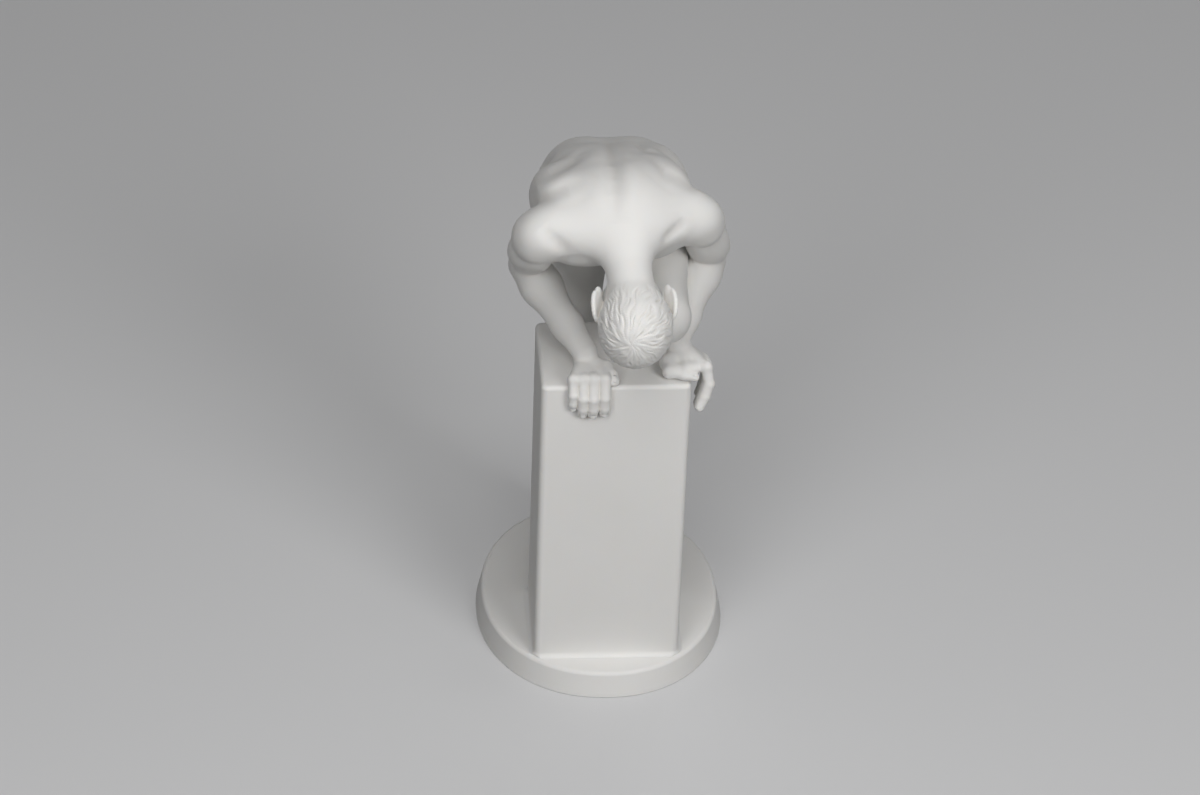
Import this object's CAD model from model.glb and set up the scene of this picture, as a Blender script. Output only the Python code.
import math
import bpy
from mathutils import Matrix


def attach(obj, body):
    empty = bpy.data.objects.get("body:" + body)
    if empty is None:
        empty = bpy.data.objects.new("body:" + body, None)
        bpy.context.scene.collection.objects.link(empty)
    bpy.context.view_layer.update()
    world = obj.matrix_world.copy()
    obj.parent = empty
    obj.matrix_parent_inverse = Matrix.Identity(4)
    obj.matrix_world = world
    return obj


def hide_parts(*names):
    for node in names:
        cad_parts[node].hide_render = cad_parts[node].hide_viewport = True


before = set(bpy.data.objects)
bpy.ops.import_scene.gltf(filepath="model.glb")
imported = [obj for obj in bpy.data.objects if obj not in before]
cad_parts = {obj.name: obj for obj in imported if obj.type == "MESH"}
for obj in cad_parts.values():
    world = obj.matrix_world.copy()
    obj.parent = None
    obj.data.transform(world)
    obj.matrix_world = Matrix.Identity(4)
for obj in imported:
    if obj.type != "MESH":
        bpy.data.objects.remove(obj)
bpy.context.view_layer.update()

from concurrent.futures import ThreadPoolExecutor
from functools import reduce

import bpy
import numpy as np
from mathutils import Matrix

# Looks of a bowed male figure leaning over a plinth, an unglazed porcelain figurine.
# Forms are modelled in millimetres from the middle of the plinth's top: x to the figure's left,
# -y to the viewer.

# One centimetre of a life-size body at the figure's scale
LIFE = 1.856
FIGURE_AT = np.array([0.0, -25.8, 159.0])
METRE = 0.001

# Plinth and base, millimetres
PLINTH = np.array([65.0, 51.2, 147.0])
PLINTH_CORNER = 3.0
PLINTH_TOP_ROUND = 1.9
PLINTH_FOOT_FILLET = 2.4
BASE_HALF = np.array([54.0, 64.4])
BASE_THICKNESS = 12.0
BASE_FLARE = 2.1
BASE_RIM_ROUND = 2.0
BASE_FOOT_ROUND = 0.5
BASE_SQUARENESS = 2.12
BASE_SIDES = 128
WALL_RINGS, WALL_RING_STEP = 11, 11.5
ROUND_STEPS, FOOT_ROUND_STEPS = 8, 4
SHARP_EDGE = math.radians(50)
# Gaps between touching pieces
SEAM = 0.02
TOUCH = 0.12

# Bones, millimetres
UPPER_ARM, FOREARM = 55.5, 47.0
THIGH, SHIN = 80.0, 77.0
INSTEP, TOES = 24.4, 11.0
HIP_SPACING = 33.5

# Facet sizes of the pieces, millimetres
COARSER = 1.0
BODY_CELL = 0.72 * COARSER
LIMB_CELL = 0.62 * COARSER
FOOT_CELL = 0.42 * COARSER
HEAD_CELL = 0.34 * COARSER
HAND_CELL = 0.29 * COARSER


def vec(*v):
    return np.array(v, np.float32)


def unit(v):
    v = np.asarray(v, np.float32)
    return v / np.linalg.norm(v)


def life(*v):
    return vec(*v) * LIFE


class Axes:
    """A local frame whose places are given in life centimetres."""

    def __init__(self, origin, x, y, z):
        self.origin = np.asarray(origin, np.float32)
        self.rows = np.stack([unit(x), unit(y), unit(z)])

    def at(self, *place):
        return self.origin + LIFE * (vec(*place) @ self.rows)

    def local(self, p):
        return (p - self.origin) @ self.rows.T / LIFE


def bone(start, end, side):
    """The frame of a limb bone: y runs along it, z points to the given side."""
    y = unit(end - start)
    z = unit(side - y * (side @ y))
    return Axes(start, np.cross(y, z), y, z)


def middle_joint(start, end, first, second, pole):
    """The middle joint of a two-bone limb, bent to the side of the pole."""
    span = np.linalg.norm(end - start)
    axis = (end - start) / span
    along = (first ** 2 - second ** 2 + span ** 2) / (2 * span)
    out = math.sqrt(max(first ** 2 - along ** 2, 0))
    return start + axis * along + unit(pole - axis * (pole @ axis)) * out


# Fields give each point's distance from a form, negative inside. Radii are in life centimetres.
def cone(a, b, ra, rb):
    ab = (b - a).astype(np.float32)
    square = float(ab @ ab)

    def field(p):
        q = p - a
        t = np.clip(q @ ab / square, 0, 1)
        q = q - t[:, None] * ab
        return np.sqrt(np.einsum("ij,ij->i", q, q)) - (ra + (rb - ra) * t) * LIFE
    return field


def egg(axes, at, size):
    centre = axes.at(*at)
    rows = (axes.rows.T / (vec(*size) * LIFE)).astype(np.float32)
    inverse = 1 / (vec(*size) * LIFE)

    def field(p):
        q = (p - centre) @ rows
        near = np.sqrt(np.einsum("ij,ij->i", q, q))
        slope = np.sqrt(np.einsum("ij,ij->i", q * inverse, q * inverse)) + 1e-6
        return near * (near - 1) / slope
    return field


def soft_min(a, b, k):
    h = np.maximum(k - np.abs(a - b), 0) / k
    return np.minimum(a, b) - h * h * k / 4


def blend(width, fields):
    """Soft union over a width in life centimetres."""
    k = width * LIFE
    return lambda p: reduce(lambda sum_, f: soft_min(sum_, f(p), k), fields[1:], fields[0](p))


def carve(width, body, tool):
    k = width * LIFE
    return lambda p: -soft_min(-body(p), tool(p), k)


def mound(axes, at, size, height):
    """A soft bulge, or a dent where its height is negative, in life centimetres."""
    centre = axes.at(*at)
    rows = (axes.rows.T / (vec(*size) * LIFE)).astype(np.float32)

    def change(p):
        q = (p - centre) @ rows
        return height * np.exp(-np.einsum("ij,ij->i", q, q))
    return change


def crease(axes, line, width, depth, squash=(1, 1, 1)):
    """A fold pressed along a line of places in a frame, running out at both ends."""
    points = [vec(*place) * vec(*squash) for place in line]
    total = len(points) - 1

    def change(p):
        p = axes.local(p) * vec(*squash)
        best = np.full(len(p), 1e3, np.float32)
        fade = np.zeros(len(p), np.float32)
        for i, (a, b) in enumerate(zip(points[:-1], points[1:])):
            ab = b - a
            t = np.clip((p - a) @ ab / float(ab @ ab), 0, 1)
            q = p - a - t[:, None] * ab
            d = np.sqrt(np.einsum("ij,ij->i", q, q))
            closer = d < best
            along = (i + t) / total
            fade = np.where(closer, 4 * along * (1 - along), fade)
            best = np.where(closer, d, best)
        return -depth * fade * np.exp(-(best / width) ** 2)
    return change


def swell(body, changes):
    return lambda p: body(p) - LIFE * sum(change(p) for change in changes)


def both(make):
    return [make(-1), make(1)]


def plinth_field(p):
    """Distance from the plinth, softly rounded."""
    half = PLINTH / 2
    q = np.abs(p - vec(0, 0, -half[2])) - (half - PLINTH_TOP_ROUND)
    outside = np.sqrt((np.maximum(q, 0) ** 2).sum(1))
    return outside + np.minimum(q.max(1), 0) - PLINTH_TOP_ROUND


def clear_of_plinth(field):
    """A form pressed flat where it meets the plinth."""
    return lambda p: np.maximum(field(p), TOUCH - plinth_field(p))


def flat_on_base(field):
    """A form pressed flat where it stands on the base."""
    return lambda p: np.maximum(field(p), FLOOR + TOUCH - p[:, 2])


# Skeleton
FLOOR = -PLINTH[2]
PELVIS = life(1.2, 36, 20.6)
NAPE = life(0, -12.7, 42.3)
SHOULDERS = {-1: life(-18.2, -8.5, 39), 1: life(18.9, -1.2, 38.6)}
SKULL = life(2.4, -22.6, 27.8)
HIP = {s: PELVIS + vec(s * HIP_SPACING / 2, 0, 0) for s in (-1, 1)}
RIGHT_EDGE = vec(-10.1, -PLINTH[1] / 2, 0)
LEFT_EDGE = vec(PLINTH[0] / 2, -16.4, 0)
WRIST = {-1: RIGHT_EDGE + vec(-3.2, 15.4, 8.2), 1: LEFT_EDGE + vec(-5.8, 11, 8.4)}
ELBOW = {
    -1: middle_joint(SHOULDERS[-1], WRIST[-1], UPPER_ARM, FOREARM, vec(-12.7, 34, -8)),
    1: middle_joint(SHOULDERS[1], WRIST[1], UPPER_ARM, FOREARM, vec(11, 37.6, -11.2)),
}
LEFT_KNEE = HIP[1] + unit(life(11.2, -6.6, 15) - HIP[1]) * THIGH
LEFT_ANKLE = LEFT_KNEE + unit(vec(20.4, PLINTH[1] / 2, 4.9 * LIFE - 0.3) - LEFT_KNEE) * SHIN
RIGHT_ANKLE = vec(-8.4, 76, FLOOR + 19)
RIGHT_KNEE = HIP[-1] + (RIGHT_ANKLE - HIP[-1]) * THIGH / (THIGH + SHIN) + vec(0, -2.5, 0)
KNEE = {-1: RIGHT_KNEE, 1: LEFT_KNEE}
ANKLE = {-1: RIGHT_ANKLE, 1: LEFT_ANKLE}
BALL_LIFT = 4.3
BALL_AHEAD = math.sqrt(INSTEP ** 2 - (19 - BALL_LIFT) ** 2)
BALL = {
    -1: vec(-8.4, 76 - BALL_AHEAD, FLOOR + BALL_LIFT),
    1: LEFT_ANKLE + unit(vec(0, 0.42, -0.9)) * INSTEP,
}
TOE_TIP = {
    -1: BALL[-1] + unit(vec(0, -1, -0.09)) * TOES,
    1: BALL[1] + unit(vec(0, 0.62, -0.78)) * TOES,
}
INSTEP_SIDE = {-1: vec(0, -0.6, 0.8), 1: vec(0, -0.9, -0.4)}
KNEE_FRONT = {-1: vec(0, -1, 0), 1: vec(0, -0.4, -0.9)}

SHOULDER_MIDDLE = (SHOULDERS[-1] + SHOULDERS[1]) / 2
HIP_UP = unit(NAPE - PELVIS)
HIPS = Axes(PELVIS, vec(1, 0, 0), HIP_UP, np.cross(HIP_UP, vec(1, 0, 0)))
CHEST_ACROSS = unit(SHOULDERS[1] - SHOULDERS[-1])
CHEST_BACK = unit(np.cross(SHOULDER_MIDDLE - PELVIS, CHEST_ACROSS))
CHEST = Axes(SHOULDER_MIDDLE, CHEST_ACROSS, np.cross(CHEST_ACROSS, CHEST_BACK), CHEST_BACK)
CROWN = unit(vec(0.02, -0.732, -0.682))
FACE = unit(vec(0, 0.682, -0.731))
HEAD = Axes(SKULL, np.cross(CROWN, FACE), CROWN, FACE)


def torso_field():
    h, c = HIPS, CHEST
    collar = c.at(0, -1.5, 3)
    girdle = both(lambda s: cone(collar, SHOULDERS[s] * 0.8 + collar * 0.2, 7, 6))
    over = c.at(0, 2, 7)
    trapezius = both(lambda s: cone(h.at(s * 2.6, 50.5, -1.5), SHOULDERS[s] * 0.78 + over * 0.22, 4.8, 4.6))
    pelvis = egg(h, (-0.7, 2.5, 2), (15, 12, 11))
    waist = egg(h, (0, 15, 4.6), (13.6, 14, 9.8))
    ribs = egg(c, (0.6, -15.5, 4.2), (15.6, 16.5, 10.8))
    upper_ribs = egg(c, (0.3, -4, 3.2), (14, 12, 8.6))
    nape = egg(h, (0, 45.6, 1), (10, 8.8, 8.8))
    buttocks = both(lambda s: egg(h, (s * 7 - 0.7, -0.5, 4.8), (8, 9.6, 8.6)))
    shoulder_blades = both(lambda s: egg(c, (s * 10.6, -6.4, 7.4), (6.8, 8.6, 4.8)))
    broad_back = both(lambda s: egg(c, (0.7 + s * 11.8, -14.5, 5.4), (5.8, 13, 7.4)))
    obliques = both(lambda s: egg(h, (0.4 + s * 10.9, 11, 3.6), (6.6, 14, 8.4)))
    breast = both(lambda s: egg(c, (s * 7.4, -6, -5), (8, 7.5, 4.4)))
    masses = blend(6, [pelvis, waist, ribs, upper_ribs, nape, *girdle, *buttocks])
    muscles = blend(3.4, [masses, *trapezius, *shoulder_blades, *broad_back, *obliques, *breast])
    return swell(muscles, back_relief() + both(shoulder_fold))


# Folds of the bent back, life centimetres in the frame of the hips: line, width, depth
SPINE = (
    (-1.3, 0, 14), (-2.4, 30.2, 14.8), (-2.7, 43.3, 13.6), (-2.8, 50.1, 11.2), (-2.9, 53.1, 8.2), (-3, 56, 2),
)
RIGHT_RIBS = (
    (-5.5, 24, 14.4), (-10.6, 31.9, 13.2), (-13.7, 37.7, 12.5), (-16.7, 40.5, 11.1), (-20, 38.8, 8.4),
)
RIGHT_FLANK = ((-12.6, 13, 11.4), (-14.8, 9.8, 9.8), (-16, 6, 8.3), (-17, 3, 6.6))
RIGHT_BLADE = (
    (-9, 48, 10.8), (-13.3, 48.3, 9.4), (-15.1, 48.1, 8.6), (-17.3, 47, 7.6), (-19.4, 43.7, 6.2),
    (-21, 36, 3.6),
)
LEFT_BLADE = (
    (5, 33, 13.8), (6.9, 35.8, 13.3), (9.2, 43.3, 11.8), (12.7, 43.3, 10.1), (15, 42.8, 8.6), (17, 41, 7),
)
LEFT_RIBS = ((3.5, 14, 14.5), (5, 18.3, 14.6), (6.1, 25.5, 14.4), (8.2, 27.4, 14.2), (10.5, 28, 13))
BACK_FOLDS = (
    (SPINE, 1.2, 0.5),
    (SPINE, 2.8, 1.5),
    (RIGHT_RIBS, 1.7, 0.9),
    (RIGHT_FLANK, 1.3, 0.7),
    (RIGHT_BLADE, 1.7, 0.9),
    (LEFT_BLADE, 1.5, 0.55),
    (LEFT_RIBS, 1.4, 0.6),
)
FOLD_SQUASH = (1, 0.35, 1)
# Soft swellings of the back: middle, radii, height
BACK_SWELLS = (
    ((-9.5, 17, 12), (5, 9, 6), 1.3),
    ((9.5, 17, 12), (5, 9, 6), 1.3),
    ((-15, 44, 10.6), (5, 6, 3.4), 0.3),
    ((11, 9, 11.8), (3, 6, 3), 0.4),
    ((0, 8.5, 14), (12, 7, 5), 0.75),
    ((-1, 29, 14), (11, 13, 6), 0.85),
    ((-1.5, 40, 13.4), (10, 6, 5), 0.45),
)
# Folds where each deltoid meets the trunk, in the frame of the hips
SHOULDER_FOLD_WIDTH, SHOULDER_FOLD_DEPTH = 1.7, 0.75
SHOULDER_FOLDS = {
    -1: ((-19.5, 53.5, 1.2), (-17.5, 54, -1.2), (-16.1, 53.7, -2.6), (-14.7, 52.8, -4.2), (-13.2, 51, -6)),
    1: ((14, 48.8, 2.4), (12.3, 49.7, 0.3), (10.7, 50.5, -0.8), (9.3, 51.2, -1.8), (7.6, 52, -3.6)),
}


def shoulder_fold(s):
    return crease(HIPS, SHOULDER_FOLDS[s], SHOULDER_FOLD_WIDTH, SHOULDER_FOLD_DEPTH)


def back_relief():
    folds = [crease(HIPS, line, width, depth, FOLD_SQUASH) for line, width, depth in BACK_FOLDS]
    return folds + [mound(HIPS, *form) for form in BACK_SWELLS]


# Muscle heads of each arm along its bones: place, radii
SIDE_HEADS = {-1: ((2.4, 12, -0.4), (4.2, 8, 4)), 1: ((-2.1, 19.5, 0.2), (4.2, 9, 4))}
FORE_HEADS = {-1: ((0, 5, 0.4), (4, 7, 4)), 1: ((-0.9, 3.6, 0), (4.4, 7, 4.2))}
DELTOIDS = {-1: ((0, 3.4, -0.2), (6.3, 7.8, 6.3)), 1: ((0.2, 3.6, 0.3), (5.8, 7.4, 5.8))}


def arm_field(s):
    top, elbow, wrist = SHOULDERS[s], ELBOW[s], WRIST[s]
    inner = (top + wrist) / 2 - elbow
    u, f = bone(top, elbow, inner), bone(elbow, wrist, inner)
    length, reach = UPPER_ARM / LIFE, FOREARM / LIFE
    full, slim = f.at(0, reach * 0.25, 0), f.at(0, reach * 0.7, 0)
    arm = blend(2, [
        cone(top, elbow, 4.7, 3.9),
        egg(u, (0, length * 0.52, 1.6), (3.4, 8, 3.6)),
        egg(u, (0, length * 0.5, -1.8), (3.7, 9, 3.5)),
        egg(u, *SIDE_HEADS[s]),
        cone(elbow, full, 3.9, 4.6),
        egg(f, *FORE_HEADS[s]),
        cone(full, slim, 4.6, 3.5),
        cone(slim, wrist, 3.5, 3),
    ])
    return swell(blend(1.1, [arm, egg(u, *DELTOIDS[s])]), [shoulder_fold(s)])


def leg_field(s):
    top, knee, ankle = HIP[s], KNEE[s], ANKLE[s]
    t, k = bone(top, knee, KNEE_FRONT[s]), bone(knee, ankle, KNEE_FRONT[s])
    length = float(np.linalg.norm(knee - top)) / LIFE
    reach = float(np.linalg.norm(ankle - knee)) / LIFE
    full, calf = t.at(0, length * 0.4, 0), k.at(0, reach * 0.3, -1)
    return blend(2.6, [
        cone(top, full, 8.6, 7.4),
        cone(full, knee, 7.4, 5.3),
        egg(t, (0, length * 0.55, 2.6), (6, 13, 5)),
        egg(t, (0, length * 0.5, -2.4), (6, 13, 5)),
        egg(k, (0, 0, 1.4), (4.6, 5.4, 4.6)),
        cone(knee, calf, 5.3, 4.9),
        egg(k, (0, reach * 0.3, -2.2), (5.1, 10, 4.4)),
        cone(calf, ankle, 4.9, 3.6),
        *both(lambda m: egg(k, (m * 2.9, reach - 0.4, 0), (1.4, 1.8, 1.6))),
    ])


# Toes, the little one first: place across the foot, share of the toes' length, radius of the tip
TOE_ROW = ((-3.5, 0.72, 0.95), (-1.75, 0.82, 1), (-0.1, 0.9, 1), (1.6, 0.97, 1.05), (3.6, 1, 1.5))
TOE_ROOT = 1.4


def foot_field(s):
    ankle, ball, tip = ANKLE[s], BALL[s], TOE_TIP[s]
    f = bone(ankle, ball, INSTEP_SIDE[s])
    heel = f.at(0, -2.6, -4.8)

    def beside(place, across):
        return place + f.rows[0] * across * LIFE
    toes = []
    for across, share, radius in TOE_ROW:
        across *= -s
        end = beside(ball + (tip - ball) * share, across)
        start = beside(ball, across)
        toes.append(cone(start, end, TOE_ROOT, radius))
    sole = blend(1.6, [
        cone(ankle, heel, 3, 3),
        cone(ankle, ball, 2.9, 2.2),
        cone(heel, beside(ball, 2.4 * s), 2.9, 2),
        cone(heel, beside(ball, -2.2 * s), 2.4, 1.8),
        cone(beside(ball, -2.9), beside(ball, 2.9), 2.1, 2.2),
    ])
    return blend(0.9, [sole, blend(0.35, toes)])


# Fingers in millimetres, little finger to index: place along the edge, length share, radius
FINGERS = ((-13.6, 0.8, 2.1), (-9.3, 0.98, 2.35), (-4.85, 1, 2.5), (0, 0.96, 2.45))
FINGER_TAPER = (1, 1.03, 0.97, 0.86)
# Each hand's joints of the index finger outward and up, its place along the edge, how far the row of knuckles
# rolls and the fingers lean, the height of the palm's root, the thumb and the heel of the hand
GRIPS = {
    -1: {
        "joints": ((0.2, 4.4), (3.3, -3.9), (2.8, -9.3), (2.2, -12.8)),
        "index": 4.85, "roll": 0, "lean": 0, "root": 3.4,
        "thumb": ((-8.2, 5.4, 4), (-3.9, 7.9, 3.7), (-0.6, 8.9, 2.6)), "thumb_radii": (3.1, 2.75, 2.6, 2.3),
        "heel": (-12, -1, 4.2), "heel_radius": 3.4,
    },
    1: {
        "joints": ((6.6, 5.4), (8, -2.8), (6.4, -9), (4.2, -14.4)),
        "index": 2.6, "roll": math.radians(20), "lean": 3, "root": 6.6,
        "thumb": ((-9.4, 3.2, 3.6), (-3.4, 5.3, 2.9), (1.5, 6.1, 2.4)), "thumb_radii": (2.4, 2.15, 2.05, 1.8),
        "heel": (-9.6, -2.6, 4.4), "heel_radius": 3.4,
    },
}
HAND_FRAMES = {-1: (RIGHT_EDGE, vec(0, -1, 0), vec(1, 0, 0)), 1: (LEFT_EDGE, vec(1, 0, 0), vec(0, -1, 0))}


# Fingernails: radii in half widths, the groove around the plate, and the plate's place in tip radii
NAIL_SHAPE = np.array([1, 1.25, 0.5])
NAIL_BED, NAIL_PLATE = 1.06, 0.97
NAIL_GROOVE, NAIL_EDGE = 0.1, 0.06
NAIL_RISE, NAIL_BACK, NAIL_WIDTH = 0.68, 0.1, 0.66


def nail_on(body, place, along, out, width):
    """A fingernail let into a finger's end: a shallow groove around a smooth plate."""
    axes = Axes(place, np.cross(along, out), along, out)
    size = NAIL_SHAPE * width / LIFE
    bed = egg(axes, (0, 0, 0), size * NAIL_BED)
    plate = egg(axes, (0, 0, 0), size * NAIL_PLATE)
    return blend(NAIL_EDGE, [carve(NAIL_GROOVE, body, bed), plate])


def digit(joints, radii, out, melt):
    """A finger or thumb through its joints, with a nail on the side given."""
    radii = [r / LIFE for r in radii]
    body = blend(melt, [cone(*ends) for ends in zip(joints, joints[1:], radii, radii[1:])])
    along = unit(joints[-1] - joints[-2])
    out = unit(out - along * (out @ along))
    tip = radii[-1] * LIFE
    place = joints[-1] + out * tip * NAIL_RISE - along * tip * NAIL_BACK
    return nail_on(body, place, along, out, tip * NAIL_WIDTH)


def finger_joints(s, across, share):
    edge, out, along = HAND_FRAMES[s]
    grip = GRIPS[s]
    (knuckle_out, knuckle_up), *_ = grip["joints"]
    depth = knuckle_up - grip["joints"][-1][1]
    joints = []
    for o, z in grip["joints"]:
        a = grip["index"] + across * math.cos(grip["roll"]) + grip["lean"] * share * (knuckle_up - z) / depth
        up = knuckle_up + across * math.sin(grip["roll"]) + (z - knuckle_up) * share
        joints.append(edge + out * (knuckle_out + (o - knuckle_out) * share) + along * a + vec(0, 0, up))
    return joints


def hand_field(s):
    edge, out, along = HAND_FRAMES[s]
    wrist, grip = WRIST[s], GRIPS[s]

    def at(o, a, z):
        return edge + out * o + along * a + vec(0, 0, z)
    rows = [finger_joints(s, across, share) for across, share, _ in FINGERS]
    knuckles = [joints[0] for joints in rows]
    thumb, heel = [at(*t) for t in grip["thumb"]], at(*grip["heel"])
    root = [wrist * 0.85 + k * 0.15 for k in knuckles]
    for place in root:
        place[2] = grip["root"]
    ball, pad = grip["thumb_radii"][0] / LIFE, grip["heel_radius"] / LIFE
    palm = blend(1.3, [
        *(cone(r, k, 1.7, 1.25) for r, k in zip(root, knuckles)),
        cone(root[3], heel, 1.7, pad),
        cone(root[3], thumb[0], 1.7, ball),
        cone(root[3], (knuckles[3] + thumb[0]) / 2, 1.7, 1.4),
        cone(heel, thumb[0], pad, ball),
        cone(thumb[0], knuckles[3] * 0.7 + thumb[0] * 0.3, ball * 0.9, 1.15),
    ])
    fingers = [digit(joints, [taper * radius for taper in FINGER_TAPER], out, 0.3)
               for joints, (_, _, radius) in zip(rows, FINGERS)]
    thumb_body = digit(thumb, grip["thumb_radii"][1:], vec(0, 0, 1), 0.4)
    return blend(0.6, [blend(0.7, [palm, blend(0.22, fingers)]), thumb_body])


SKULL_MIDDLE, SKULL_RADIUS = (0, 4.4, -0.8), 9.25
EAR_FLARE = math.radians(32)
EAR_RING_STEPS = 12


def head_field():
    h = HEAD
    neck = cone(CHEST.at(-0.2, 1, 1), h.at(-0.3, -1.5, -3), 5.8, 5)
    return blend(2.4, [
        egg(h, SKULL_MIDDLE, (8.3, SKULL_RADIUS, 10.2)),
        egg(h, (0, -1.4, 3), (6.5, 8, 5.8)),
        egg(h, (0, -7.4, 5.4), (3.2, 2.6, 2.8)),
        *both(lambda s: egg(h, (s * 3.6, -2.6, 5.4), (3.4, 4, 3.4))),
        neck,
    ])


def ear_field(s):
    out = HEAD.rows.T @ vec(s * math.sin(EAR_FLARE), 0, -math.cos(EAR_FLARE))
    ear = Axes(HEAD.at(s * 7.3, -0.6, 0.7), out, CROWN, np.cross(out, CROWN) * s)

    def rim(turn):
        return ear.at(1.7 + 2 * math.sin(turn), 3.5 * math.cos(turn), 0.2)
    ring = [rim(math.radians(-50 + 200 * i / EAR_RING_STEPS)) for i in range(EAR_RING_STEPS + 1)]
    fold = blend(0.25, [cone(a, b, 0.46, 0.44) for a, b in zip(ring, ring[1:])])
    ridge = [ear.at(*place) for place in ((1.5, 2, 0.3), (2.2, 0.6, 0.35), (2, -1, 0.35), (1.2, -2.2, 0.3))]
    plate = blend(0.5, [
        egg(ear, (1.5, 0, 0), (2.3, 3.6, 0.5)),
        fold,
        *(cone(a, b, 0.4, 0.4) for a, b in zip(ridge, ridge[1:])),
        egg(ear, (0.9, -3.4, 0.1), (1.3, 1.3, 0.6)),
        egg(ear, (-0.3, -0.5, 0.4), (0.6, 0.9, 0.5)),
    ])
    return carve(0.4, plate, egg(ear, (0.8, -0.6, 0.95), (1, 1.6, 0.7)))


LID_LINE = ((1.6, 1.7, 7.5), (3.1, 1.1, 8.1), (4.6, 1.6, 7.2))
MOUTH_LINE = ((-2.7, -5.05, 7.6), (-1, -5.15, 8.9), (0, -5.25, 9.1), (1, -5.15, 8.9), (2.7, -5.05, 7.6))


def face_field(skull):
    h = HEAD
    brow = [cone(h.at(s * 0.8, 3.5, 8.3), h.at(s * 4.6, 3.4, 6.8), 0.8, 0.7) for s in (-1, 1)]
    form = blend(1.2, [skull, *brow, *both(lambda s: egg(h, (s * 4.5, -0.6, 5.8), (2.1, 1.5, 1.8)))])
    for s in (-1, 1):
        form = carve(1, form, egg(h, (s * 3.1, 1.9, 9.0), (1.9, 1.1, 1.3)))
    lids = both(lambda s: egg(h, (s * 3.1, 1.8, 6.9), (1.4, 1.2, 1.25)))
    nose = [
        cone(h.at(0, 2.8, 8.2), h.at(0, -2, 10.2), 0.75, 0.95),
        egg(h, (0, -2.3, 10.2), (1, 0.9, 1)),
        *both(lambda s: egg(h, (s * 1.1, -2.7, 9.3), (0.7, 0.65, 0.85))),
    ]
    lips = [egg(h, (0, -4.7, 8.4), (2.2, 0.5, 0.8)), egg(h, (0, -5.7, 8.2), (1.8, 0.55, 0.8))]
    form = blend(0.5, [form, *lids, *nose, *lips])
    for s in (-1, 1):
        form = carve(0.2, form, egg(h, (s * 0.55, -3.25, 9.7), (0.3, 0.3, 0.5)))
    lid_lines = both(lambda s: crease(h, [(s * x, y, z) for x, y, z in LID_LINE], 0.16, 0.2))
    mouth = crease(h, MOUTH_LINE, 0.18, 0.26)
    return swell(form, [*lid_lines, mouth, mound(h, (0, -6.8, 8.6), (1.6, 0.5, 1), -0.15)])


# Hair, combed away from a whorl at the back of the crown
WHORL = unit(vec(-0.17, 0.6, -0.78))
WHORL_SIDE = unit(np.cross(WHORL, vec(1, 0, 0)))
WHORL_ACROSS = np.cross(WHORL_SIDE, WHORL)
SWIRL, SWIRL_REACH = 0.6, 0.4
WAVE, WAVES = 0.035, 11
HAIR_SEED, GRAIN_CELLS = 11, 32
GRAIN = np.random.default_rng(HAIR_SEED).random((GRAIN_CELLS,) * 3).astype(np.float32)
LOCK_REACH = 0.15
LOCK_STEPS = np.linspace(-LOCK_REACH, LOCK_REACH, 7)
LOCK_SHARES = 1.1 - np.abs(LOCK_STEPS) / LOCK_REACH
LOCK_SIZE, STRAND_SIZE = 0.58, 0.38
LOCK_HEIGHT, STRAND_HEIGHT, HAIR_GROUND = 0.2, 0.14, 0.1
GRAIN_SPREAD = 0.34
# The hairline's height at the nape, its rise to the brow over a depth, and its bow over the ear
NAPE_LINE, BROW_RISE, BROW_DEPTH = -4.2, 13.5, 7
EAR_BOW, EAR_AT, EAR_WIDTH = 2.5, -0.5, 2.5
NECK_BELOW = -7


def value_noise(x, y, z):
    total = 0
    base = [np.floor(v).astype(int) for v in (x, y, z)]
    share = [v - b for v, b in zip((x, y, z), base)]
    share = [t * t * (3 - 2 * t) for t in share]
    for corner in range(8):
        pick = [(corner >> i) & 1 for i in range(3)]
        weight = reduce(np.multiply, [t if bit else 1 - t for t, bit in zip(share, pick)])
        total = total + weight * GRAIN[tuple((b + bit) % GRAIN_CELLS for b, bit in zip(base, pick))]
    return total


def smooth_step(low, high, v):
    t = np.clip((v - low) / (high - low), 0, 1)
    return t * t * (3 - 2 * t)


def hair_turn(lean, strand):
    """How far a strand has turned about the whorl at an angle from it."""
    return SWIRL * np.exp(-np.abs(lean) / SWIRL_REACH) + WAVE * np.sin(WAVES * lean + 2 * np.sin(3 * strand))


def combed(lean, strand, size):
    """Grain of a size in life centimetres, drawn out along the strands."""
    total = 0
    for step, weight in zip(LOCK_STEPS, LOCK_SHARES / LOCK_SHARES.sum()):
        away = lean + step
        turn = strand - hair_turn(away, strand)
        around = np.cos(turn)[:, None] * WHORL_SIDE + np.sin(turn)[:, None] * WHORL_ACROSS
        n = np.cos(away)[:, None] * WHORL + np.sin(away)[:, None] * around
        total = total + weight * value_noise(*(n * SKULL_RADIUS / size + GRAIN_CELLS / 2).T)
    return np.clip((total - 0.5) / GRAIN_SPREAD + 0.5, 0, 1)


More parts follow.
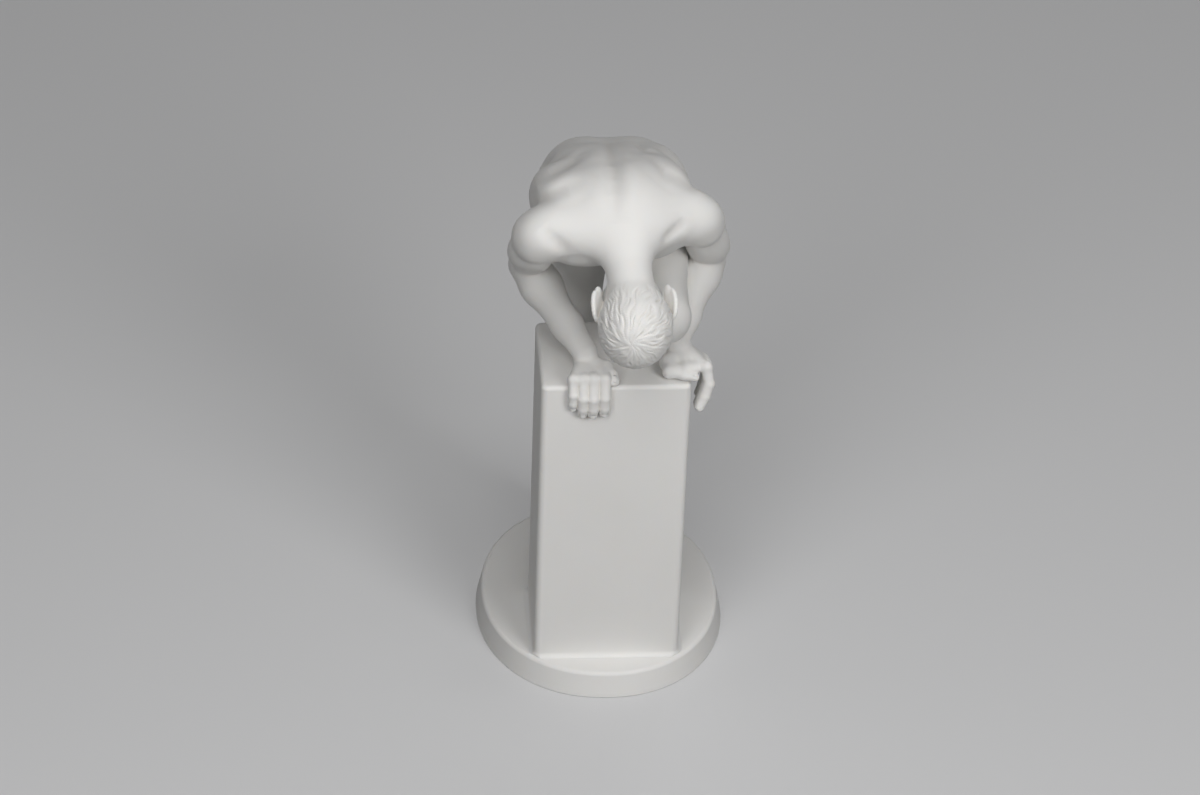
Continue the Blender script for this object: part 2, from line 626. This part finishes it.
def hair(p):
    """Thickness of the hair in life centimetres."""
    local = HEAD.local(p)
    y, z = local[:, 1], local[:, 2]
    line = NAPE_LINE + BROW_RISE * smooth_step(-BROW_DEPTH, BROW_DEPTH, z)
    line = line + EAR_BOW * np.exp(-((z - EAR_AT) / EAR_WIDTH) ** 2)
    cover = smooth_step(-1.2, 1.4, y - line)
    thick = np.zeros(len(p), np.float32)
    grown = cover > 0
    q = local[grown] - vec(*SKULL_MIDDLE)
    n = q / (np.linalg.norm(q, axis=1, keepdims=True) + 1e-6)
    lean = np.arccos(np.clip(n @ WHORL, -1, 1))
    turn = np.arctan2(n @ WHORL_ACROSS, n @ WHORL_SIDE)
    strand = turn + hair_turn(lean, turn + SWIRL * np.exp(-lean / SWIRL_REACH))
    locks, strands = combed(lean, strand, LOCK_SIZE), combed(lean, strand + 1, STRAND_SIZE)
    comb = LOCK_HEIGHT * (1 - (1 - locks) ** 2) + STRAND_HEIGHT * (1 - (1 - strands) ** 2)
    length = smooth_step(-1, 4, (y - line)[grown])
    thick[grown] = cover[grown] * (HAIR_GROUND + (0.35 + 0.65 * length) * comb)
    return thick


def head_with_hair(field):
    return lambda p: field(p) - LIFE * hair(p) * (HEAD.local(p)[:, 1] > NECK_BELOW)


# Sculpting: skins of fields, cut where neighbouring pieces meet
COARSE_STEP, NEAR_CELLS, BATCH = 4, 5.5, 200000
# Probes and limits in cells, and in millimetres for the hollows
DRAW_PROBE, DRAW_LIMIT, LEAST_SLOPE = 0.15, 0.6, 0.2
NORMAL_PROBE, HOLLOW_PROBE, HOLLOW_GAIN = 0.3, 1.2, 1.2


def finer(v, axis, factor):
    v = np.moveaxis(v, axis, 0)
    share = (np.arange(factor, dtype=np.float32) / factor)[None, :, None, None]
    body = v[:-1, None] * (1 - share) + v[1:, None] * share
    out = np.concatenate([body.reshape(-1, *v.shape[1:]), v[-1:]])
    return np.moveaxis(out, 0, axis)


def sampled(field, low, cell, counts):
    """The field on a grid, exact near the skin and roughly elsewhere."""
    coarse_counts = (counts - 1) // COARSE_STEP + 1
    coarse = [low[i] + cell * COARSE_STEP * np.arange(coarse_counts[i], dtype=np.float32) for i in range(3)]
    points = np.stack(np.meshgrid(*coarse, indexing="ij"), -1)
    value = field(points.reshape(-1, 3)).reshape(points.shape[:3])
    for axis in range(3):
        value = finer(value, axis, COARSE_STEP)
    value = np.ascontiguousarray(value, np.float32)
    near = np.argwhere(np.abs(value) < NEAR_CELLS * cell)
    for part in np.array_split(near, max(len(near) // BATCH, 1)):
        value[tuple(part.T)] = field((low + cell * part).astype(np.float32))
    return value


STEPS = np.eye(3, dtype=int)


def skin(field, low, high, cell):
    """Vertices and triangles of the surface where the field is zero."""
    low = np.asarray(low, np.float32)
    counts = (np.ceil((np.asarray(high) - low) / cell / COARSE_STEP).astype(int) + 1) * COARSE_STEP + 1
    value = sampled(field, low, cell, counts)
    inside = value < 0
    corners = [inside[i:counts[0] - 1 + i, j:counts[1] - 1 + j, k:counts[2] - 1 + k]
               for i in (0, 1) for j in (0, 1) for k in (0, 1)]
    full = sum(c.astype(np.int8) for c in corners)
    active = (full > 0) & (full < 8)
    cells = np.argwhere(active)
    index = np.full(active.shape, -1)
    index[active] = np.arange(len(cells))
    place = np.zeros((len(cells), 3), np.float32)
    crossings = np.zeros(len(cells), np.float32)
    quads = []
    for axis in range(3):
        b, c = STEPS[(axis + 1) % 3], STEPS[(axis + 2) % 3]
        for i, j in ((0, 0), (1, 0), (0, 1), (1, 1)):
            start = cells + i * b + j * c
            v0, v1 = value[tuple(start.T)], value[tuple((start + STEPS[axis]).T)]
            cross = (v0 < 0) != (v1 < 0)
            share = np.where(cross, v0 / np.where(cross, v0 - v1, 1), 0)
            place += cross[:, None] * (i * b + j * c + share[:, None] * STEPS[axis])
            crossings += cross
        ahead = np.roll(inside, -1, axis)
        change = inside != ahead
        change[tuple(slice(-1, None) if a == axis else slice(None) for a in range(3))] = False
        edges = np.argwhere(change)
        edges = edges[((edges > 0) & (edges < counts - 1)).all(1)]
        around = ((1, 1), (0, 1), (0, 0), (1, 0))
        quad = np.stack([index[tuple((edges - i * b - j * c).T)] for i, j in around], 1)
        flip = ~inside[tuple(edges.T)]
        quad[flip] = quad[flip][:, ::-1]
        quads.append(quad)
    verts = low + cell * (cells + place / crossings[:, None])
    verts = drawn_onto(field, verts.astype(np.float32), cell)
    return verts, halves(verts, np.concatenate(quads))


def slope_and_bend(field, verts, probe):
    """The field's slope at points, and how hollow the form is there."""
    slope = np.zeros_like(verts)
    bend = -6 * field(verts)
    for axis in range(3):
        step = STEPS[axis].astype(np.float32) * probe
        ahead, behind = field(verts + step), field(verts - step)
        slope[:, axis] = (ahead - behind) / (2 * probe)
        bend += ahead + behind
    return slope, bend / probe ** 2


def drawn_onto(field, verts, cell):
    start = verts
    for _ in range(2):
        slope, _ = slope_and_bend(field, verts, DRAW_PROBE * cell)
        step = field(verts) / np.maximum((slope * slope).sum(1), LEAST_SLOPE)
        verts = verts - slope * step[:, None]
    move = verts - start
    far = np.linalg.norm(move, axis=1, keepdims=True)
    return start + move * np.minimum(1, DRAW_LIMIT * cell / np.maximum(far, 1e-6))


def halves(verts, quads):
    a, b, c, d = quads.T
    first = np.linalg.norm(verts[a] - verts[c], axis=1) < np.linalg.norm(verts[b] - verts[d], axis=1)
    one = np.where(first[:, None], np.stack([a, b, c], 1), np.stack([b, c, d], 1))
    two = np.where(first[:, None], np.stack([a, c, d], 1), np.stack([b, d, a], 1))
    return np.concatenate([one, two])


def compact(verts, tris):
    used, inverse = np.unique(tris, return_inverse=True)
    return verts[used], inverse.reshape(-1, 3)


def clipped(verts, tris, share):
    """The part of a mesh where the share is positive, cut along its zero line."""
    share = np.where(np.abs(share) < 1e-4, 1e-4, share)
    keep = share > 0
    count = keep[tris].sum(1)
    part = tris[(count == 1) | (count == 2)]
    k = keep[part]
    single = k.sum(1) == 1
    odd = np.where(single, k.argmax(1), (~k).argmax(1))
    r = np.stack([part[np.arange(len(part)), (odd + i) % 3] for i in range(3)], 1)
    edges = np.sort(np.concatenate([r[:, [0, 1]], r[:, [0, 2]]]), axis=1)
    unique, inverse = np.unique(edges, axis=0, return_inverse=True)
    inverse = inverse.ravel()
    s0, s1 = share[unique[:, 0]], share[unique[:, 1]]
    new = verts[unique[:, 0]] + (s0 / (s0 - s1))[:, None] * (verts[unique[:, 1]] - verts[unique[:, 0]])
    a, b = len(verts) + inverse[:len(r)], len(verts) + inverse[len(r):]
    corner = np.stack([r[:, 0], a, b], 1)[single]
    strip_one = np.stack([a, r[:, 1], r[:, 2]], 1)[~single]
    strip_two = np.stack([a, r[:, 2], b], 1)[~single]
    tris = np.concatenate([tris[count == 3], corner, strip_one, strip_two])
    return compact(np.concatenate([verts, new.astype(np.float32)]), tris)


def largest(verts, tris):
    """The largest connected part of a mesh."""
    label = np.arange(len(verts))
    while True:
        low = label[tris].min(1)
        fresh = label.copy()
        np.minimum.at(fresh, tris.ravel(), np.repeat(low, 3))
        fresh = fresh[fresh]
        if (fresh == label).all():
            break
        label = fresh
    names, counts = np.unique(label[tris[:, 0]], return_counts=True)
    return compact(verts, tris[label[tris[:, 0]] == names[counts.argmax()]])


def capped(verts, tris):
    """A mesh with each open rim closed by a fan."""
    edges = tris[:, [0, 1, 1, 2, 2, 0]].reshape(-1, 2)
    key = edges.min(1).astype(np.int64) * len(verts) + edges.max(1)
    _, first, counts = np.unique(key, return_index=True, return_counts=True)
    follow = {int(a): int(b) for a, b in edges[first[counts == 1]]}
    fans, centres = [], []
    while follow:
        start, after = follow.popitem()
        ring = [start]
        while after != start and after in follow:
            ring.append(after)
            after = follow.pop(after)
        middle = len(verts) + len(centres)
        centres.append(verts[ring].mean(0))
        fans += [(b, a, middle) for a, b in zip(ring, ring[1:] + ring[:1])]
    if not fans:
        return verts, tris
    return np.concatenate([verts, np.array(centres, np.float32)]), np.concatenate([tris, np.array(fans)])


def mesh_object(name, verts, faces, normals, hollow):
    mesh = bpy.data.meshes.new(name)
    mesh.from_pydata(((verts + FIGURE_AT) * METRE).tolist(), [], faces.tolist())
    mesh.polygons.foreach_set("use_smooth", np.ones(len(mesh.polygons), bool))
    layer = mesh.attributes.new("hollow", "FLOAT", "POINT")
    layer.data.foreach_set("value", hollow.astype(np.float32))
    mesh.normals_split_custom_set_from_vertices(normals.tolist())
    mesh.update()
    ob = bpy.data.objects.new(name, mesh)
    bpy.context.scene.collection.objects.link(ob)
    return ob


def dressed(ob, *nodes):
    ob.data.materials.append(PORCELAIN)
    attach(ob, "root")
    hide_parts(*nodes)
    return ob


def box_around(points, margin):
    points = np.stack(points)
    return points.min(0) - margin, points.max(0) + margin


def sculpted(field, box, cell, cuts):
    """One cast piece: the figure's skin within a box, cut where it meets its neighbours."""
    verts, tris = skin(field, *box, cell)
    for cut in cuts:
        verts, tris = clipped(verts, tris, cut(verts))
    verts, tris = largest(verts, tris)
    count = len(verts)
    verts, tris = capped(verts, tris)
    slope, _ = slope_and_bend(field, verts, NORMAL_PROBE * cell)
    _, bend = slope_and_bend(field, verts, HOLLOW_PROBE)
    normals = slope / np.maximum(np.linalg.norm(slope, axis=1, keepdims=True), 1e-6)
    hollow = np.clip(-bend * HOLLOW_GAIN, 0, 1)
    hollow[count:] = 0
    return verts, tris, normals, hollow


# Material: fired porcelain without glaze, warm white, a little dust in the hollows
CLAY_TONES = {"A": (0.80, 0.79, 0.77, 1), "B": (0.845, 0.835, 0.815, 1)}
DUST_TONE, DUST_SHARE = (0.62, 0.56, 0.48, 1), 0.28
CLAY_ROUGHNESS = {"To Min": 0.5, "To Max": 0.64}
CLAY_SHADER = {
    "Specular IOR Level": 0.2,
    "Subsurface Weight": 0.12,
    "Subsurface Radius": (1.0, 0.8, 0.6),
    "Subsurface Scale": 0.0012,
}


def add(nodes, kind, **values):
    node = nodes.new(kind)
    for key, value in values.items():
        if key in node.inputs:
            node.inputs[key].default_value = value
        else:
            setattr(node, key, value)
    return node


def set_inputs(node, values):
    for key, value in values.items():
        node.inputs[key].default_value = value


def porcelain():
    material = bpy.data.materials.new("bisque_porcelain")
    material.use_nodes = True
    nodes, links = material.node_tree.nodes, material.node_tree.links
    shader = nodes["Principled BSDF"]
    set_inputs(shader, CLAY_SHADER)
    place = add(nodes, "ShaderNodeTexCoord")
    cloud = add(nodes, "ShaderNodeTexNoise", Scale=28.0, Detail=3.0)
    grain = add(nodes, "ShaderNodeTexNoise", Scale=2600.0, Detail=2.0)
    speck = add(nodes, "ShaderNodeTexNoise", Scale=420.0, Detail=4.0)
    tone = add(nodes, "ShaderNodeMix", data_type="RGBA")
    set_inputs(tone, CLAY_TONES)
    dust = add(nodes, "ShaderNodeMix", data_type="RGBA")
    dust.inputs["B"].default_value = DUST_TONE
    hollow = add(nodes, "ShaderNodeAttribute", attribute_name="hollow")
    weaken = add(nodes, "ShaderNodeMath", operation="MULTIPLY")
    weaken.inputs[1].default_value = DUST_SHARE
    rough = add(nodes, "ShaderNodeMapRange")
    set_inputs(rough, CLAY_ROUGHNESS)
    bump = add(nodes, "ShaderNodeBump", Strength=0.12, Distance=0.00006)
    for texture in (cloud, grain, speck):
        links.new(place.outputs["Object"], texture.inputs["Vector"])
    links.new(cloud.outputs["Fac"], tone.inputs["Factor"])
    links.new(tone.outputs["Result"], dust.inputs["A"])
    links.new(hollow.outputs["Fac"], weaken.inputs[0])
    links.new(weaken.outputs["Value"], dust.inputs["Factor"])
    links.new(dust.outputs["Result"], shader.inputs["Base Color"])
    links.new(speck.outputs["Fac"], rough.inputs["Value"])
    links.new(rough.outputs["Result"], shader.inputs["Roughness"])
    links.new(grain.outputs["Fac"], bump.inputs["Height"])
    links.new(bump.outputs["Normal"], shader.inputs["Normal"])
    return material


PORCELAIN = porcelain()


# Plinth and base as finely lofted bodies
def loft(rings):
    count = len(rings[0])
    verts = [p for ring in rings for p in ring]
    faces = []
    for r in range(len(rings) - 1):
        for i in range(count):
            j = (i + 1) % count
            faces.append((r * count + i, r * count + j, (r + 1) * count + j, (r + 1) * count + i))
    faces.append(tuple(range(count))[::-1])
    faces.append(tuple(range((len(rings) - 1) * count, len(rings) * count)))
    return verts, faces


def lofted(name, rings):
    verts, faces = loft(rings)
    mesh = bpy.data.meshes.new(name)
    mesh.from_pydata([tuple((np.asarray(v) + FIGURE_AT) * METRE) for v in verts], [], faces)
    mesh.polygons.foreach_set("use_smooth", np.ones(len(mesh.polygons), bool))
    mesh.attributes.new("hollow", "FLOAT", "POINT")
    mesh.update()
    mesh.set_sharp_from_angle(angle=SHARP_EDGE)
    ob = bpy.data.objects.new(name, mesh)
    bpy.context.scene.collection.objects.link(ob)
    weighted = ob.modifiers.new("flat_faces", "WEIGHTED_NORMAL")
    weighted.keep_sharp = True
    return ob


def quarter_turn(steps):
    return [i / steps * math.pi / 2 for i in range(steps + 1)]


def rounded_ring(half_x, half_y, radius, z):
    ring = []
    for quarter, (sx, sy) in enumerate(((1, 1), (-1, 1), (-1, -1), (1, -1))):
        for i in range(ROUND_STEPS + 1):
            angle = (quarter + i / ROUND_STEPS) * math.pi / 2
            ring.append((sx * (half_x - radius) + radius * math.cos(angle),
                         sy * (half_y - radius) + radius * math.sin(angle), z))
    return ring


def on_flat_base(x, y):
    spread = np.abs(np.array([x, y + FIGURE_AT[1]])) / (BASE_HALF - BASE_RIM_ROUND)
    return (spread ** BASE_SQUARENESS).sum() < 1


SHARE_TRIES = np.linspace(0, 1, 41)


def kept_on_base(ring, wall):
    """A ring of the plinth's foot, drawn in where it would overhang the rounded rim of the base."""
    kept = []
    for (x, y, z), (wall_x, wall_y, _) in zip(ring, wall):
        shares = [share for share in SHARE_TRIES
                  if on_flat_base(wall_x + (x - wall_x) * share, wall_y + (y - wall_y) * share)]
        share = max(shares, default=0)
        kept.append((wall_x + (x - wall_x) * share, wall_y + (y - wall_y) * share, z))
    return kept


def plinth_rings():
    half = PLINTH / 2
    rings = []
    wall = rounded_ring(half[0], half[1], PLINTH_CORNER, 0)
    for angle in quarter_turn(ROUND_STEPS):
        out = PLINTH_FOOT_FILLET * (1 - math.sin(angle))
        ring = rounded_ring(half[0] + out, half[1] + out, PLINTH_CORNER + out,
                            FLOOR + SEAM + PLINTH_FOOT_FILLET * (1 - math.cos(angle)))
        rings.append(kept_on_base(ring, wall))
    for i in range(1, WALL_RINGS + 1):
        z = FLOOR + PLINTH_FOOT_FILLET + i * WALL_RING_STEP
        rings.append(rounded_ring(half[0], half[1], PLINTH_CORNER, z))
    for angle in quarter_turn(ROUND_STEPS):
        inset = PLINTH_TOP_ROUND * (1 - math.cos(angle))
        rings.append(rounded_ring(half[0] - inset, half[1] - inset, PLINTH_CORNER - inset,
                                  -PLINTH_TOP_ROUND * (1 - math.sin(angle))))
    return rings


def oval_ring(half_x, half_y, z):
    power = 2 / BASE_SQUARENESS
    ring = []
    for i in range(BASE_SIDES):
        turn = 2 * math.pi * i / BASE_SIDES
        c, s = math.cos(turn), math.sin(turn)
        ring.append((math.copysign(abs(c) ** power, c) * half_x,
                     math.copysign(abs(s) ** power, s) * half_y - FIGURE_AT[1], z))
    return ring


def base_rings():
    rings = []
    for angle in quarter_turn(FOOT_ROUND_STEPS):
        edge = BASE_FOOT_ROUND * (1 - math.sin(angle))
        z = FLOOR - BASE_THICKNESS + BASE_FOOT_ROUND * (1 - math.cos(angle))
        rings.append(oval_ring(*(BASE_HALF + BASE_FLARE - edge), z))
    for angle in quarter_turn(ROUND_STEPS):
        inset = BASE_RIM_ROUND * (1 - math.cos(angle))
        rings.append(oval_ring(*(BASE_HALF - inset), FLOOR - BASE_RIM_ROUND * (1 - math.sin(angle))))
    return rings


dressed(lofted("plinth_body", plinth_rings()), "plinth")
dressed(lofted("base_plate", base_rings()), "base")

# The whole figure: each limb melts into the trunk over its own width, life centimetres
ARM_MELT, LEG_MELT, NECK_MELT, WRIST_MELT, ANKLE_MELT = 2.6, 3.2, 4.0, 1.2, 1.4
# How far above a drawn-up ankle its own hip begins, life centimetres
HIP_CLEARANCE = 9

TORSO = torso_field()
ARMS = {s: arm_field(s) for s in (-1, 1)}
LEGS = {s: leg_field(s) for s in (-1, 1)}
NECK_AND_HEAD = head_field()
HANDS = {s: clear_of_plinth(blend(WRIST_MELT, [ARMS[s], hand_field(s)])) for s in (-1, 1)}
FEET = {s: blend(ANKLE_MELT, [LEGS[s], foot_field(s)]) for s in (-1, 1)}
FEET[-1] = flat_on_base(FEET[-1])
LEG_SKINS = {-1: FEET[-1], 1: clear_of_plinth(FEET[1])}
HEAD_SKIN = blend(0.3, [head_with_hair(face_field(NECK_AND_HEAD)), ear_field(-1), ear_field(1)])


def whole(parts):
    """The trunk with limbs, each melting into it over its own width."""
    def field(p):
        trunk = TORSO(p)
        return reduce(np.minimum, [soft_min(trunk, limb(p), melt * LIFE) for limb, melt in parts])
    return field


def beyond(place, direction):
    return lambda p: (p - place) @ unit(direction)


def above_ankle(side):
    """Keeps a leg down to its ankle, and the hip even where it reaches behind a drawn-up ankle."""
    shin = beyond(ANKLE[side], KNEE[side] - ANKLE[side])
    hip_above = ANKLE[side][2] + HIP_CLEARANCE * LIFE
    return lambda p: np.maximum(shin(p), p[:, 2] - hip_above)


def outside_trunk(limb):
    return lambda p: TORSO(p) - limb(p)


def within_trunk(p):
    trunk = TORSO(p)
    limbs = [ARMS[-1], ARMS[1], LEGS[-1], LEGS[1], NECK_AND_HEAD]
    return reduce(np.minimum, [limb(p) - trunk for limb in limbs])


LIMBS = [
    (ARMS[-1], ARM_MELT), (ARMS[1], ARM_MELT), (LEGS[-1], LEG_MELT), (LEGS[1], LEG_MELT),
    (NECK_AND_HEAD, NECK_MELT),
]
# Room around each piece's bones, life centimetres
ROOM = {"torso": 18, "head": 13, "arm": 10, "hand": 9, "leg": 11, "foot": 8}
# Lowest fingertip and farthest knuckle from the plinth's edge, millimetres
FINGER_DROP, KNUCKLE_REACH = 13, 6


def room_around(kind, *points):
    return box_around(points, ROOM[kind] * LIFE)


# Each piece's field, box, facet size and cuts
PIECES = {
    "torso": (
        whole(LIMBS), room_around("torso", PELVIS, NAPE, SHOULDERS[-1], SHOULDERS[1]), BODY_CELL,
        [within_trunk]),
    "head": (
        whole([(HEAD_SKIN, NECK_MELT)]), room_around("head", HEAD.at(*SKULL_MIDDLE), CHEST.at(0, 6, 0)),
        HEAD_CELL, [outside_trunk(NECK_AND_HEAD)]),
}
for side, word in ((-1, "right"), (1, "left")):
    fore = WRIST[side] - ELBOW[side]
    shin = ANKLE[side] - KNEE[side]
    edge, out, _ = HAND_FRAMES[side]
    PIECES[word + "_arm"] = (
        whole([(HANDS[side], ARM_MELT)]), room_around("arm", SHOULDERS[side], ELBOW[side], WRIST[side]),
        LIMB_CELL, [outside_trunk(ARMS[side]), beyond(WRIST[side], -fore)])
    PIECES[word + "_hand"] = (
        HANDS[side],
        room_around("hand", WRIST[side], edge - vec(0, 0, FINGER_DROP), edge + out * KNUCKLE_REACH),
        HAND_CELL, [beyond(WRIST[side], fore)])
    PIECES[word + "_leg"] = (
        whole([(LEG_SKINS[side], LEG_MELT)]), room_around("leg", HIP[side], KNEE[side], ANKLE[side]),
        LIMB_CELL, [outside_trunk(LEGS[side]), above_ankle(side)])
    PIECES[word + "_foot"] = (
        FEET[side], room_around("foot", ANKLE[side], BALL[side], TOE_TIP[side]), FOOT_CELL,
        [beyond(ANKLE[side], shin)])
with ThreadPoolExecutor(4) as pool:
    shapes = list(pool.map(lambda piece: sculpted(*piece), PIECES.values()))
for node, shape in zip(PIECES, shapes):
    dressed(mesh_object("figure_" + node, *shape), node)


# Floor, light and camera
CAMERA_YAW, CAMERA_RISE, CAMERA_ROLL = math.radians(-4.92), math.radians(34.86), math.radians(2.15)
CAMERA_AIM = np.array([-4.88, -25.8, 135.66])
CAMERA_DISTANCE = 1969.3
CAMERA_LENS, SENSOR_WIDTH, CAMERA_CLIP = 135.0, 36.0, 50

BACKDROP = (0.52, 0.52, 0.525, 1)
AMBIENT, AMBIENT_STRENGTH = (0.95, 0.97, 1, 1), 0.012
FLOOR_TONES = {"A": (0.68, 0.68, 0.685, 1), "B": (0.72, 0.72, 0.725, 1)}
FLOOR_BOUNCE = (0.22, 0.22, 0.22, 1)
FLOOR_ROUGHNESS = 0.9
# The least share of the backdrop in the floor as seen, and where, in metres, the floor passes into it
FLOOR_GLOW = 0.2
FLOOR_REACH, FADE_FROM, FADE_TO = 2.5, 0.8, 2.3


def seen_share(nodes, links):
    """1 for what the camera sees, also in a reflection or through glass, and 0 for light on the object."""
    path = add(nodes, "ShaderNodeLightPath")
    share = path.outputs["Is Camera Ray"]
    for ray in ("Is Glossy Ray", "Is Transmission Ray"):
        either = add(nodes, "ShaderNodeMath", operation="MAXIMUM")
        links.new(share, either.inputs[0])
        links.new(path.outputs[ray], either.inputs[1])
        share = either.outputs["Value"]
    return share


def studio_floor():
    material = bpy.data.materials.new("studio_floor")
    material.use_nodes = True
    nodes, links = material.node_tree.nodes, material.node_tree.links
    shader = nodes["Principled BSDF"]
    shader.inputs["Roughness"].default_value = FLOOR_ROUGHNESS
    noise = add(nodes, "ShaderNodeTexNoise", Scale=3.0, Detail=2.0)
    tone = add(nodes, "ShaderNodeMix", data_type="RGBA")
    set_inputs(tone, FLOOR_TONES)
    links.new(noise.outputs["Fac"], tone.inputs["Factor"])
    # The object sees a darker floor than the camera, so that its undersides keep their shade
    share = seen_share(nodes, links)
    seen = add(nodes, "ShaderNodeMix", data_type="RGBA")
    seen.inputs["A"].default_value = FLOOR_BOUNCE
    links.new(share, seen.inputs["Factor"])
    links.new(tone.outputs["Result"], seen.inputs["B"])
    links.new(seen.outputs["Result"], shader.inputs["Base Color"])
    # Far from the object the camera sees the floor pass softly into the backdrop
    place = add(nodes, "ShaderNodeTexCoord")
    away = add(nodes, "ShaderNodeVectorMath", operation="LENGTH")
    fade = add(nodes, "ShaderNodeMapRange", interpolation_type="SMOOTHSTEP")
    set_inputs(fade, {"From Min": FADE_FROM, "From Max": FADE_TO, "To Min": FLOOR_GLOW})
    gate = add(nodes, "ShaderNodeMath", operation="MULTIPLY")
    far = add(nodes, "ShaderNodeEmission", Color=BACKDROP)
    surface = add(nodes, "ShaderNodeMixShader")
    links.new(place.outputs["Object"], away.inputs[0])
    links.new(away.outputs["Value"], fade.inputs["Value"])
    links.new(fade.outputs["Result"], gate.inputs[0])
    links.new(share, gate.inputs[1])
    links.new(gate.outputs["Value"], surface.inputs["Fac"])
    links.new(shader.outputs["BSDF"], surface.inputs[1])
    links.new(far.outputs["Emission"], surface.inputs[2])
    links.new(surface.outputs["Shader"], nodes["Material Output"].inputs["Surface"])
    mesh = bpy.data.meshes.new("floor")
    corners = [(x * FLOOR_REACH, y * FLOOR_REACH, 0) for x, y in ((-1, -1), (1, -1), (1, 1), (-1, 1))]
    mesh.from_pydata(corners, [], [(0, 1, 2, 3)])
    floor = bpy.data.objects.new("floor", mesh)
    floor.data.materials.append(material)
    bpy.context.scene.collection.objects.link(floor)


# Soft lamps: turn from the front to the figure's left and rise, degrees, and power
LAMPS = {
    "key": (30, 29, 9.4),
    "fill": (-30, 29, 5.4),
    "front": (-13, 52, 4.5),
    "top": (25, 80, 3.6),
    "behind": (160, 40, 1.2),
}
LAMP_AIM = np.array([0, -0.03, 0.19])
LAMP_DISTANCE, LAMP_SIZE = 1.5, 0.7


def lamp(name, turn, rise, power):
    data = bpy.data.lights.new(name, "AREA")
    data.shape = "DISK"
    data.size = LAMP_SIZE
    data.energy = power
    ob = bpy.data.objects.new(name, data)
    a, e = math.radians(turn), math.radians(rise)
    back = np.array([math.sin(a) * math.cos(e), -math.cos(a) * math.cos(e), math.sin(e)])
    right = unit(np.cross((0, 0, 1), back))
    up = np.cross(back, right)
    place = LAMP_AIM + back * LAMP_DISTANCE
    ob.matrix_world = Matrix(((right[0], up[0], back[0], place[0]), (right[1], up[1], back[1], place[1]),
                              (right[2], up[2], back[2], place[2]), (0, 0, 0, 1)))
    bpy.context.scene.collection.objects.link(ob)


def camera():
    a, e, r = CAMERA_YAW, CAMERA_RISE, CAMERA_ROLL
    back = np.array([math.sin(a) * math.cos(e), -math.cos(a) * math.cos(e), math.sin(e)])
    level = np.array([math.cos(a), math.sin(a), 0])
    rise = np.cross(back, level)
    right = math.cos(r) * level + math.sin(r) * rise
    up = -math.sin(r) * level + math.cos(r) * rise
    eye = (CAMERA_AIM + back * CAMERA_DISTANCE) * METRE
    data = bpy.data.cameras.new("camera")
    data.lens = CAMERA_LENS
    data.sensor_width = SENSOR_WIDTH
    data.sensor_fit = "HORIZONTAL"
    data.clip_end = CAMERA_CLIP
    ob = bpy.data.objects.new("camera", data)
    ob.matrix_world = Matrix(((right[0], up[0], back[0], eye[0]), (right[1], up[1], back[1], eye[1]),
                              (right[2], up[2], back[2], eye[2]), (0, 0, 0, 1)))
    bpy.context.scene.collection.objects.link(ob)
    bpy.context.scene.camera = ob


def world_light():
    world = bpy.data.worlds.new("studio")
    world.use_nodes = True
    nodes, links = world.node_tree.nodes, world.node_tree.links
    ambient = nodes["Background"]
    set_inputs(ambient, {"Color": AMBIENT, "Strength": AMBIENT_STRENGTH})
    # The camera sees a paler backdrop than the light the figure gets from it
    backdrop = add(nodes, "ShaderNodeBackground", Color=BACKDROP)
    seen = add(nodes, "ShaderNodeMixShader")
    links.new(seen_share(nodes, links), seen.inputs["Fac"])
    links.new(ambient.outputs["Background"], seen.inputs[1])
    links.new(backdrop.outputs["Background"], seen.inputs[2])
    links.new(seen.outputs["Shader"], nodes["World Output"].inputs["Surface"])
    bpy.context.scene.world = world


studio_floor()
world_light()
for name, place in LAMPS.items():
    lamp(name, *place)
camera()
bpy.context.scene.view_settings.view_transform = "Standard"
